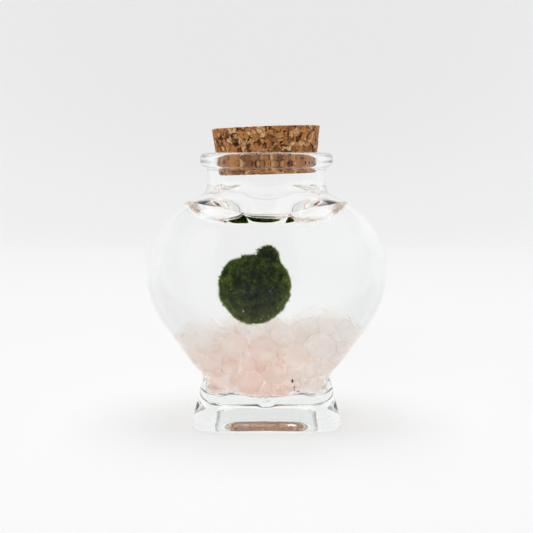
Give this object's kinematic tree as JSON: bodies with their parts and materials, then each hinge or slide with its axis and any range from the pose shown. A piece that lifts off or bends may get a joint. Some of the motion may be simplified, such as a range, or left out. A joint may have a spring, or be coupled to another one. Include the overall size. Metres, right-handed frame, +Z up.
{
  "type": "marimo moss ball in a heart-shaped jar",
  "caption": "Green moss ball resting on rose quartz pebbles in a small heart-shaped glass jar of water, closed with a tapered cork.",
  "frame": {"origin": "middle of the jar's foot, on the surface that it stands on", "axes": "+Z up through the neck and cork, +X to the right across the heart, -Y out of the heart's front"},
  "size_m": [0.0656, 0.0392, 0.0813],
  "materials": {
    "glass": "gloss",
    "cork": "matte",
    "moss": "matte",
    "rose_quartz": "satin",
    "water": "gloss"
  },
  "bodies": {
    "root": {"jar": "glass", "cork": "cork", "moss_ball": "moss", "quartz_01": "rose_quartz", "quartz_02": "rose_quartz", "quartz_03": "rose_quartz", "quartz_04": "rose_quartz", "quartz_05": "rose_quartz", "quartz_06": "rose_quartz", "quartz_07": "rose_quartz", "quartz_08": "rose_quartz", "quartz_09": "rose_quartz", "quartz_10": "rose_quartz", "quartz_11": "rose_quartz", "quartz_12": "rose_quartz", "quartz_13": "rose_quartz", "quartz_14": "rose_quartz", "quartz_15": "rose_quartz", "quartz_16": "rose_quartz", "quartz_17": "rose_quartz", "quartz_18": "rose_quartz", "quartz_19": "rose_quartz", "quartz_20": "rose_quartz", "quartz_21": "rose_quartz", "quartz_22": "rose_quartz", "quartz_23": "rose_quartz", "quartz_24": "rose_quartz", "quartz_25": "rose_quartz", "quartz_26": "rose_quartz", "quartz_27": "rose_quartz", "quartz_28": "rose_quartz", "quartz_29": "rose_quartz", "quartz_30": "rose_quartz", "quartz_31": "rose_quartz", "quartz_32": "rose_quartz", "quartz_33": "rose_quartz", "quartz_34": "rose_quartz", "quartz_35": "rose_quartz", "quartz_36": "rose_quartz", "quartz_37": "rose_quartz", "quartz_38": "rose_quartz", "quartz_39": "rose_quartz", "quartz_40": "rose_quartz", "quartz_41": "rose_quartz", "quartz_42": "rose_quartz", "quartz_43": "rose_quartz", "water": "water"}
  },
  "joints": []
}
